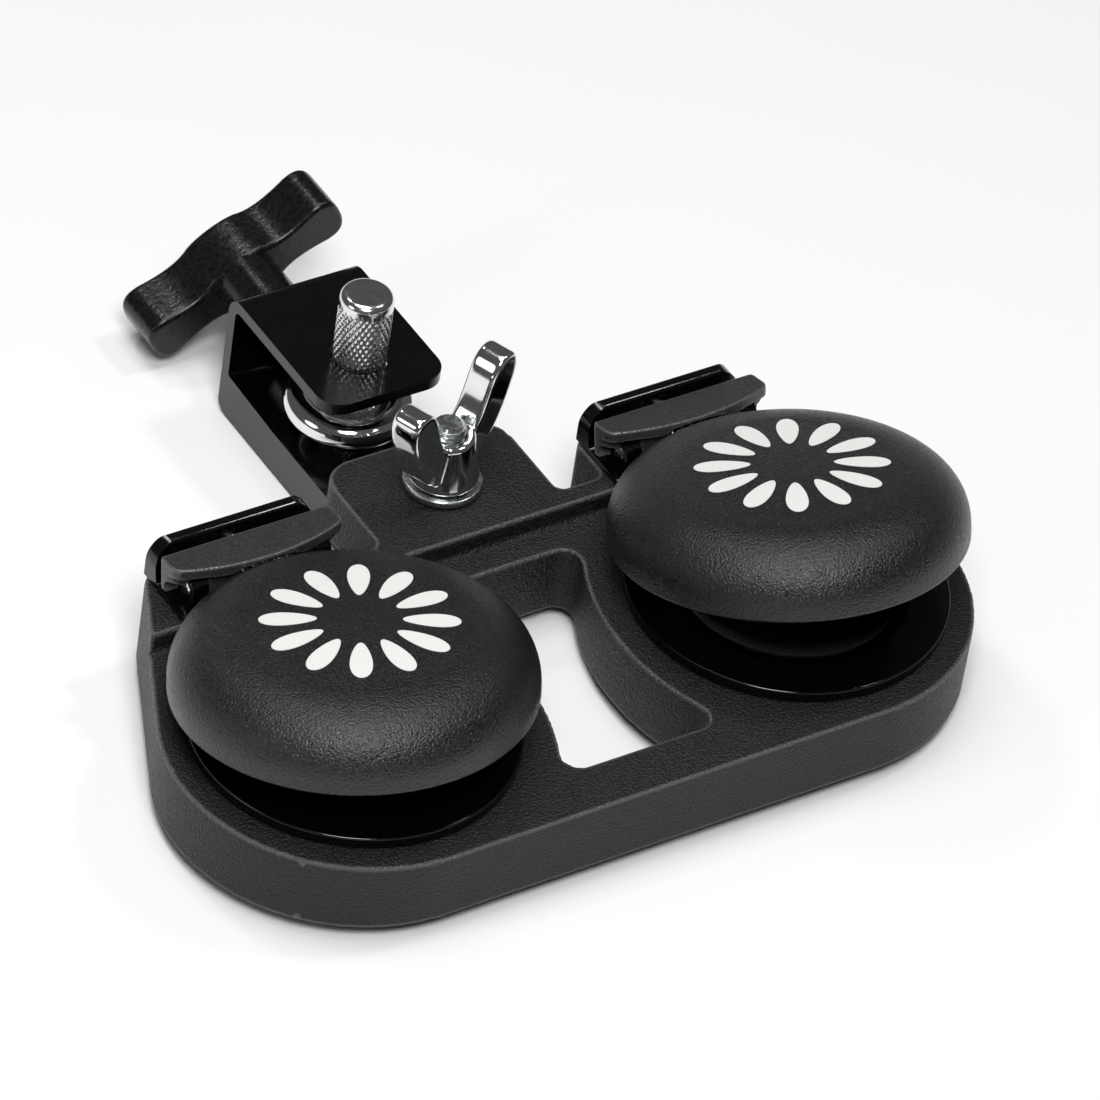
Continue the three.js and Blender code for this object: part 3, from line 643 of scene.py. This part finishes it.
# ---------------------------------------------------------------- castanets
def make_lower_shell(side, x):
    wall = [
        (0, SHELL_BOTTOM),
        (SHELL_BOWL_R, SHELL_BOTTOM, 3),
        (SHELL_BOWL_R, BASE_TOP + GAP),
        (SHELL_R, BASE_TOP + GAP, 0.4),
        (SHELL_R, SHELL_TOP, 0.35),
        (CUP_R + 0.6, SHELL_TOP),
    ]
    depth = SHELL_TOP - SHELL_FLOOR
    cup = [(CUP_R * math.cos(a), SHELL_TOP - depth * math.sin(a)) for a in quarter(20)[1:-1]]
    profile = rounded(wall, closed=False) + cup + [(0, SHELL_FLOOR)]
    shell = turned(profile, steps=160)
    piece(move(shell, x=x), f"polished_shell_{side}", "base", "gloss_shell", [f"lower_shell_{side}"])


def dome_height(radius):
    """Height of the dome's outside over its rim plane, at a distance from its axis."""
    shoulder = DOME_HEIGHT - CROWN_DROP
    if radius <= CROWN_R:
        return DOME_HEIGHT - CROWN_DROP * (radius / CROWN_R) ** 2
    out = min((radius - CROWN_R) / (DOME_R - CROWN_R), 1) ** (1 / CROWN_ROUND)
    return RIM_HEIGHT + (shoulder - RIM_HEIGHT) * math.cos(math.asin(out)) ** CROWN_ROUND


def dome_profile(grow=0):
    crown = [(CROWN_R * i / 12, dome_height(CROWN_R * i / 12) + grow) for i in range(13)]
    shoulder = []
    for angle in quarter(28)[1:]:
        radius = CROWN_R + (DOME_R - CROWN_R) * math.sin(angle) ** CROWN_ROUND
        shoulder.append((radius + grow, dome_height(radius) + grow))
    return crown + shoulder


def make_dome(side, opened):
    rim = rounded([(DOME_R, RIM_HEIGHT), (DOME_R, 0, 0.8), (CUP_R, 0, 0.4), (CUP_R, 1)], closed=False)
    cup = [(CUP_R * math.cos(a), DOME_CUP_DEPTH * math.sin(a)) for a in quarter(20)[3:-1]]
    shell = turned(dome_profile() + rim + cup + [(0, DOME_CUP_DEPTH)], steps=160)
    move(shell, y=DOME_Y, z=DOME_BOTTOM)
    notch_half = BLOCK_HALF + 3
    cut(shell, block(-notch_half, notch_half, NOTCH_FRONT, FAR, 0, NOTCH_TOP))
    shell.data.transform(opened)
    piece(shell, f"dome_{side}", f"castanet_{side}", "dome_plastic", [f"upper_shell_{side}"])


def make_print(side, opened):
    """A plain ring of petals on the crown, a thin layer that follows the dome."""
    bm = bmesh.new()
    along = 16
    across = 6
    for petal in range(PETALS):
        turn = 2 * math.pi * petal / PETALS
        direction = Vector((math.cos(turn), math.sin(turn)))
        sideways = Vector((-direction.y, direction.x))
        layers = []
        for lift in (PRINT_THICK, -PRINT_THICK):
            rows = []
            for i in range(along + 1):
                t = (1 - math.cos(math.pi * i / along)) / 2
                swell = PETAL_ROOT + PETAL_SWELL * t
                half = PETAL_HALF * math.sqrt(max(1 - (2 * t - 1) ** 2, 0)) * swell
                row = []
                for j in range(across + 1):
                    flat = direction * (PETAL_START + PETAL_LENGTH * t)
                    flat += sideways * half * (2 * j / across - 1) + Vector((PRINT_X, PRINT_Y))
                    height = DOME_BOTTOM + dome_height(flat.length) + lift
                    row.append(bm.verts.new((flat.x, flat.y + DOME_Y, height)))
                rows.append(row)
            layers.append(rows)
            for i in range(along):
                for j in range(across):
                    bm.faces.new((rows[i][j], rows[i + 1][j], rows[i + 1][j + 1], rows[i][j + 1]))
        for j in (0, across):
            for i in range(along):
                top, low = layers
                bm.faces.new((top[i][j], top[i + 1][j], low[i + 1][j], low[i][j]))
    bmesh.ops.dissolve_degenerate(bm, edges=bm.edges, dist=1e-5)
    rosette = mesh_object(bm)
    rosette.data.transform(opened)
    piece(rosette, f"petal_print_{side}", f"castanet_{side}", "dome_plastic", finish="white_print")


def block_outline(inset):
    middle = BLOCK_FRONT_MID + inset
    end = BLOCK_FRONT_END + inset
    bow = end - middle
    radius = (BLOCK_HALF**2 + bow**2) / (2 * bow)
    half_angle = math.degrees(math.asin(BLOCK_HALF / radius))
    front = arc(0, middle + radius, radius, -90, -90 + 0.78 * half_angle, 8)
    return rounded(mirrored([*front, (BLOCK_HALF, end, 2), (BLOCK_HALF, BLOCK_REAR, 0.8)]))


def about_pin(pivot, radius, half, steps=48):
    return move(disk(radius, -half, half, "x", steps), y=pivot.y, z=pivot.z)


def make_hinge_block(side, pivot, opened):
    lip_bottom = BLOCK_TOP - BLOCK_LIP
    top = prism(block_outline(0), lip_bottom, BLOCK_TOP)
    body = prism(block_outline(BLOCK_RECESS), BLOCK_BOTTOM, lip_bottom + OVERLAP)
    cast([top, body, about_pin(pivot, BARREL_R, BARREL_HALF)], 0.22, 4)
    clear_top = pivot.z + EAR_R + EAR_CLEAR
    dome = turned(dome_profile(GAP) + [(DOME_R + GAP, 0), (0, 0)], steps=120)
    cut(
        top,
        about_pin(pivot, PIN_R + GAP, FAR),
        block(-SPRING_HALF, SPRING_HALF, 0, FAR, 0, pivot.z + SPRING_CLEAR),
        block(EAR_IN - EAR_CLEAR, EAR_OUT + EAR_CLEAR, 0, FAR, 0, clear_top),
        block(-EAR_OUT - EAR_CLEAR, EAR_CLEAR - EAR_IN, 0, FAR, 0, clear_top),
        move(dome, y=DOME_Y, z=DOME_BOTTOM),
    )
    top.data.transform(opened)
    piece(top, f"hinge_lug_{side}", f"castanet_{side}", "block_plastic", [f"hinge_block_{side}"])


# ---------------------------------------------------------------- hinges
def make_hinge_bracket(side, x, pivot):
    bottom = PAD_TOP + GAP
    outline = rounded([
        (FOOT_PLATE_FRONT, bottom),
        (PLATE_REAR, bottom),
        (PLATE_REAR, PLATE_TOP, 0.9),
        (PLATE_REAR - PLATE_TOP_THICK, PLATE_TOP, 0.9),
        (PLATE_REAR - PLATE_FOOT_THICK, FOOT_PLATE_TOP, 0.9),
        (FOOT_PLATE_FRONT, FOOT_PLATE_TOP, 0.4),
    ])
    plate = prism(outline, -PLATE_HALF, PLATE_HALF, "x")
    face = rounded([
        (-PLATE_HALF, bottom),
        (PLATE_HALF, bottom),
        (PLATE_HALF, PLATE_TOP, PLATE_CORNER),
        (-PLATE_HALF, PLATE_TOP, PLATE_CORNER),
    ], steps=10)
    keep(plate, prism(face, 0, FAR, "y"))
    for x0, x1 in ((-EAR_OUT, -EAR_IN), (EAR_IN, EAR_OUT)):
        round_top = arc(pivot.y, pivot.z, EAR_R, 0, 180, 16)
        ear = [*round_top, (pivot.y - EAR_R, bottom), (pivot.y + EAR_R, bottom)]
        join(plate, prism(ear, x0, x1, "x"))
    cut(
        plate,
        about_pin(pivot, PIN_R + GAP, FAR),
        move(disk(STOP_R + GAP, PLATE_REAR - 8, FAR, "y", 32), z=STOP_Z),
    )
    ease(plate, 0.4)
    piece(move(plate, x=x), f"gloss_bracket_{side}", "base", "gloss_bracket", [f"hinge_bracket_{side}"])


def make_hinge_pin(side, x, pivot):
    profile = [(0, -EAR_OUT), (PIN_R, -EAR_OUT, 0.4), (PIN_R, EAR_OUT, 0.4), (0, EAR_OUT)]
    pin = move(turned(rounded(profile, closed=False), "x", 40), x, pivot.y, pivot.z)
    piece(pin, f"steel_pin_{side}", "base", "chrome", [f"hinge_pin_{side}"])


def make_spring(side, x, pivot):
    half = SPRING_HALF - SPRING_END_ROOM
    radius = PIN_R + SPRING_WIRE_R + GAP
    steps = SPRING_TURNS * 32
    centre = Vector((x, pivot.y, pivot.z))
    path = []
    for i in range(steps + 1):
        t = i / steps
        angle = 2 * math.pi * SPRING_TURNS * t
        offset = (half * (2 * t - 1), radius * math.cos(angle), radius * math.sin(angle))
        path.append(centre + Vector(offset))
    coil = tube(path, SPRING_WIRE_R)
    piece(coil, f"spring_coil_{side}", "base", "spring_steel", [f"torsion_spring_{side}"])


def thread(pitch, depth):
    """A pattern for turned(): a helical thread cut into the surface."""

    def radius_at(radius, height, angle):
        phase = (height / pitch - angle / (2 * math.pi)) % 1
        return radius - depth * (1 - abs(2 * phase - 1))

    return radius_at


def threaded(radius, low, high, along="z", pitch=1, depth=0.35):
    rings_a_turn = 6
    count = round((high - low) / pitch * rings_a_turn)
    wall = [(radius, low + (high - low) * i / count) for i in range(count + 1)]
    profile = [(0, low), *wall, (0, high)]
    return turned(profile, along, 40, thread(pitch, depth))


def make_stop_screw(side, x):
    name = f"stop_screw_{side}"
    low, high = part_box(name)
    start = (low.y - ORIGIN.y) / MM
    end = (high.y - ORIGIN.y) / MM
    head_front = PLATE_REAR + GAP
    head = [(0, head_front), (STOP_HEAD_R, head_front, 0.3), (STOP_HEAD_R, end, 0.5), (0, end)]
    screw = turned(rounded(head, closed=False), "y", 48)
    join(screw, threaded(STOP_R, start, head_front + OVERLAP, "y", 0.7, 0.2))
    cut(screw, block(-FAR, FAR, end - SLOT_DEPTH, FAR, -SLOT_HALF, SLOT_HALF))
    piece(move(screw, x=x, z=STOP_Z), f"slotted_screw_{side}", f"stop_{side}", "zinc_steel", [name])


def make_shell_screws(side, sign):
    seat = SCREW_SEAT - GAP
    face = seat - SCREW_HEAD
    top = SHELL_BOTTOM + SCREW_GRIP
    for place, way in (("outer", 1), ("inner", -1)):
        head = [(0, face), (SCREW_HEAD_R, face, 0.7), (SCREW_HEAD_R, seat, 0.2), (0, seat)]
        screw = turned(rounded(head, closed=False), steps=48)
        join(screw, threaded(SCREW_R, seat - 0.4, top, pitch=0.8, depth=0.15))
        cut(screw, block(-SLOT_HALF, SLOT_HALF, -FAR, FAR, 0, face + SCREW_SLOT))
        move(screw, x=sign * (LOBE_X + way * SCREW_X))
        name = f"shell_screw_{place}_{side}"
        piece(screw, f"slotted_{name}", "base", "zinc_steel", [name])


# ---------------------------------------------------------------- rod clamp
def make_clamp_bracket():
    lower = LOWER_TOP - SHEET
    outline = rounded([
        (WEB_REAR, lower, BEND + SHEET),
        (WEB_REAR, FLANGE_TOP, BEND + SHEET),
        (FLANGE_FRONT, FLANGE_TOP),
        (FLANGE_FRONT, FLANGE_TOP - SHEET),
        (WEB_REAR - SHEET, FLANGE_TOP - SHEET, BEND),
        (WEB_REAR - SHEET, LOWER_TOP, BEND),
        (BOLT_Y - NOSE_R, LOWER_TOP),
        (BOLT_Y - NOSE_R, lower),
    ], steps=8)
    bracket = prism(outline, -BRACKET_HALF, BRACKET_HALF, "x")
    middle = (FLANGE_TOP + LOWER_TOP) / 2
    lower_plan = [
        *arc(0, BOLT_Y, NOSE_R, 180, 360, 36),
        (BRACKET_HALF, LIP_FRONT),
        (BRACKET_HALF, FAR),
        (-BRACKET_HALF, FAR),
        (-BRACKET_HALF, LIP_FRONT),
    ]
    upper_plan = rounded([
        (-BRACKET_HALF, FLANGE_FRONT, FLANGE_CORNER),
        (BRACKET_HALF, FLANGE_FRONT, FLANGE_CORNER),
        (BRACKET_HALF, FAR),
        (-BRACKET_HALF, FAR),
    ], steps=10)
    keep(bracket, join(prism(lower_plan, -1, middle), prism(upper_plan, middle, FAR)))
    lip = rounded([
        (LIP_FRONT + 0.5, lower + 1),
        (LIP_FRONT + 0.5, LIP_BOTTOM, 1.5),
        (WEB_REAR, LIP_BOTTOM, 2),
        (WEB_REAR, lower + 3, 0.5),
    ])
    inside = BRACKET_HALF - SHEET
    for x0, x1 in ((-BRACKET_HALF, -inside), (inside, BRACKET_HALF)):
        join(bracket, prism(lip, x0, x1, "x"))
    square = BOLT_R + GAP
    cut(
        bracket,
        move(block(-square, square, -square, square, 0, LOWER_TOP + 1), y=BOLT_Y),
        move(disk(ROD_HOLE_R, -1, FAR), y=ROD_Y),
        move(disk(SHANK_R + GAP, ROD_Y + EYE_R, FAR, "y"), z=EYE_Z),
    )
    ease(bracket, 0.45)
    piece(bracket, "folded_bracket", "clamp", "painted_steel", ["clamp_bracket"])


def make_bolt():
    head_top = LOWER_TOP - SHEET - GAP
    crown = [(BOLT_HEAD_R * math.sin(a), head_top - BOLT_HEAD * math.cos(a)) for a in quarter(10)[1:]]
    bolt = turned([(0, head_top - BOLT_HEAD), *crown, (0, head_top)], steps=64)
    neck = BOLT_R - 0.1
    tip = BOLT_TOP - 0.9
    join(
        bolt,
        block(-neck, neck, -neck, neck, head_top - OVERLAP, LOWER_TOP),
        threaded(neck, head_top - 0.4, BOLT_TOP - OVERLAP, pitch=1),
        turned([(0, tip), (neck - 0.4, tip), (neck - 0.9, BOLT_TOP), (0, BOLT_TOP)], steps=40),
    )
    piece(move(bolt, y=BOLT_Y), "domed_bolt", "clamp", "zinc_steel", ["carriage_bolt"])


def washer(outer, low, thick, soft, along="z"):
    """A washer for the bolt's or the shank's hole, with its outer corners rounded by soft."""
    high = low + thick
    inner = BOLT_R + GAP
    section = rounded([(inner, low, 0.2), (outer, low, soft), (outer, high, soft), (inner, high, 0.2)])
    return turned(section, along, 96)


def make_washers():
    flat = move(washer(WASHER_R, PAD_TOP + GAP, WASHER_THICK, 0.4), y=BOLT_Y)
    piece(flat, "nut_washer", "base", "zinc_steel", ["flat_washer"])
    thrust = move(washer(THRUST_R, WEB_REAR + GAP, THRUST_THICK, 0.5, "y"), z=EYE_Z)
    piece(thrust, "handle_washer", "clamp", "zinc_steel", ["thrust_washer"])


def make_wing_nut():
    wing = curve([
        (3.2, 1.6),
        (7.4, 2.2), (11, 6), (13.6, 14.5),
        (14.8, 18.2), (14.6, 20.8), (12.2, 21.2),
        (9.6, 21.6), (8.2, 19.8), (7.2, 16.6),
        (6.2, 13.2), (5, 10.4), (3.2, 8.6),
    ])
    right = ease(prism(wing, -WING_HALF, WING_HALF, "y"), 1.2, 4)
    left = ease(prism([(-x, z) for x, z in wing], -WING_HALF, WING_HALF, "y"), 1.2, 4)
    cone = [(0, 0), (NUT_R, 0, 0.8), (NUT_TOP_R, NUT_HEIGHT, 0.8), (0, NUT_HEIGHT)]
    hub = turned(rounded(cone, closed=False), steps=72)
    nut = cast([hub, right, left], 0.26, 8)
    cut(nut, disk(BOLT_R + 0.15, -1, FAR, steps=48))
    turn = Matrix.Rotation(math.radians(WING_TURN), 4, "Z")
    nut.data.transform(Matrix.Translation((0, BOLT_Y, NUT_Z)) @ turn)
    piece(nut, "cast_wing_nut", "wing_nut", "chrome", ["wing_nut"])


def make_rod():
    turn_per_mm = 2 * math.pi / (KNURL_RISE * KNURL_STARTS)

    def knurl(radius, height, angle):
        if not KNURL_BOTTOM < height < KNURL_TOP:
            return radius
        grooves = []
        for way in (-1, 1):
            phase = (KNURL_STARTS * (angle + way * turn_per_mm * height) / (2 * math.pi)) % 1
            grooves.append(1 - abs(2 * phase - 1))
        return radius - KNURL_DEPTH * max(0, 1 - KNURL_EDGE * min(grooves))

    start = ROD_BOTTOM + ROD_CHAMFER
    count = round((KNURL_TOP - start) / KNURL_STEP) + 2
    wall = [(ROD_R, start + KNURL_STEP * i) for i in range(count)]
    end = rounded([wall[-1], (ROD_R, ROD_TOP, 1.5), (0, ROD_TOP)], closed=False, steps=10)
    profile = [(0, ROD_BOTTOM), (ROD_R - ROD_CHAMFER, ROD_BOTTOM), *wall, *end[1:]]
    rod = turned(profile, steps=KNURL_STARTS * 8, radius_at=knurl)
    piece(move(rod, y=ROD_Y), "knurled_rod", "rod", "knurled_chrome", ["mounting_rod"])


def make_eye_bolt():
    section = arc(EYE_R, 0, EYE_TUBE, 0, 360, 32)[:-1]
    ring = turned(section, "z", 96)
    shank = threaded(SHANK_R, EYE_R + 1, SHANK_END - EYE_Y, "y", 1.0, 0.35)
    join(ring, shank)
    piece(move(ring, y=EYE_Y, z=EYE_Z), "polished_eye", "eye", "chrome", ["eye_bolt"])


def handle_outline():
    """The grip seen from behind: swollen in the middle, waisted, and full at its ends."""
    end = HANDLE_HALF
    upper = [
        (end, 0),
        (end, 4.2), (end - 2, 4.8), (end - 4.6, 4.5),
        (12, 3.6), (8.6, 3.2), (6, 4.4),
        (3.6, 6), (-3.6, 6), (-6, 4.4),
        (-8.6, 3.2), (-12, 3.6), (4.6 - end, 4.5),
        (2 - end, 4.8), (-end, 4.2), (-end, 0),
    ]
    top = curve(upper)
    return top + [(-x, -z) for x, z in top[1:-1]]


def make_handle():
    grip = ease(prism(handle_outline(), HANDLE_FRONT, HANDLE_REAR, "y"), 1.0, 4)
    boss_front = WEB_REAR + 2 * GAP + THRUST_THICK
    join(grip, ease(disk(BOSS_R, boss_front, HANDLE_FRONT + 1, "y"), 0.5))
    cut(grip, disk(SHANK_R + GAP, 0, HANDLE_REAR - 3, "y"))
    turn = Matrix.Rotation(math.radians(HANDLE_TURN), 4, "Y")
    grip.data.transform(Matrix.Translation((0, 0, EYE_Z)) @ turn)
    piece(grip, "wavy_handle", "handle", "handle_plastic", ["clamp_handle"])


# ---------------------------------------------------------------- the object
def make_castanet(side, sign):
    joint = next(j for j in frame["joints"] if j["name"] == f"castanet_{side}_hinge")
    pivot = (Vector(joint["pos_m"]) - ORIGIN) / MM
    tilt = -joint["range_deg"][0] + SHORT_OF_CLOSED
    x = sign * LOBE_X
    turn = Matrix.Rotation(math.radians(-tilt), 4, "X")
    arm = Vector((0, pivot.y, pivot.z))
    opened = Matrix.Translation((x, pivot.y, pivot.z)) @ turn @ Matrix.Translation(-arm)
    make_lower_shell(side, x)
    make_dome(side, opened)
    make_print(side, opened)
    make_hinge_block(side, pivot, opened)
    make_hinge_bracket(side, x, pivot)
    make_hinge_pin(side, x, pivot)
    make_spring(side, x, pivot)
    make_stop_screw(side, x)
    make_shell_screws(side, sign)
    make_feet(side, sign)


make_base()
make_clamp_bracket()
make_bolt()
make_washers()
make_wing_nut()
make_rod()
make_eye_bolt()
make_handle()
for side, sign in (("left", -1), ("right", 1)):
    make_castanet(side, sign)


# ---------------------------------------------------------------- studio
WORLD_LIGHT = 0.08
FLOOR_WHITE = (0.92, 0.92, 0.92)


def make_floor():
    bm = bmesh.new()
    bmesh.ops.create_grid(bm, x_segments=1, y_segments=1, size=4)
    floor = mesh_object(bm)
    floor.name = "pale_floor"
    white = Finish("floor_white", FLOOR_WHITE).roughness(0.7, 0.8, 40)
    floor.data.materials.append(white.material)


def add_light(name, place, size, power):
    data = bpy.data.lights.new(name, "AREA")
    data.shape = "DISK"
    data.size = size
    data.energy = power
    light = bpy.data.objects.new(name, data)
    light.location = place
    light.rotation_euler = (-Vector(place)).to_track_quat("-Z", "Y").to_euler()
    bpy.context.scene.collection.objects.link(light)


def add_camera():
    azimuth = math.radians(-37.524)
    elevation = math.radians(41.056)
    roll = math.radians(9.111)
    aim = Vector((0.011768, -0.017331, 0.015))
    distance = 1.36439
    flat = math.cos(elevation)
    back = Vector((math.sin(azimuth) * flat, -math.cos(azimuth) * flat, math.sin(elevation)))
    across = Vector((math.cos(azimuth), math.sin(azimuth), 0))
    above = back.cross(across)
    right = across * math.cos(roll) + above * math.sin(roll)
    up = above * math.cos(roll) - across * math.sin(roll)
    place = Matrix((right, up, back)).transposed().to_4x4()
    place.translation = aim + back * distance
    data = bpy.data.cameras.new("camera")
    data.lens = 263.7
    data.sensor_width = 36
    camera = bpy.data.objects.new("camera", data)
    camera.matrix_world = place
    bpy.context.scene.collection.objects.link(camera)
    bpy.context.scene.camera = camera


def light_studio():
    world = bpy.data.worlds.new("studio")
    world.use_nodes = True
    background = world.node_tree.nodes["Background"]
    background.inputs["Color"].default_value = (1, 1, 1, 1)
    background.inputs["Strength"].default_value = WORLD_LIGHT
    bpy.context.scene.world = world
    bpy.context.scene.view_settings.view_transform = "Standard"
    add_light("front_softbox", (-0.3, -0.5, 0.9), 0.4, 6.8)
    add_light("top_softbox", (-0.1, 0.15, 1.5), 0.8, 8.5)
    add_light("right_softbox", (0.5, -0.03, 0.98), 0.15, 1.5)
    add_light("rear_softbox", (-0.14, 0.63, 0.9), 0.15, 1)
    add_light("left_panel", (-1.0, 0.1, 0.45), 0.45, 0.9)


make_floor()
light_studio()
add_camera()
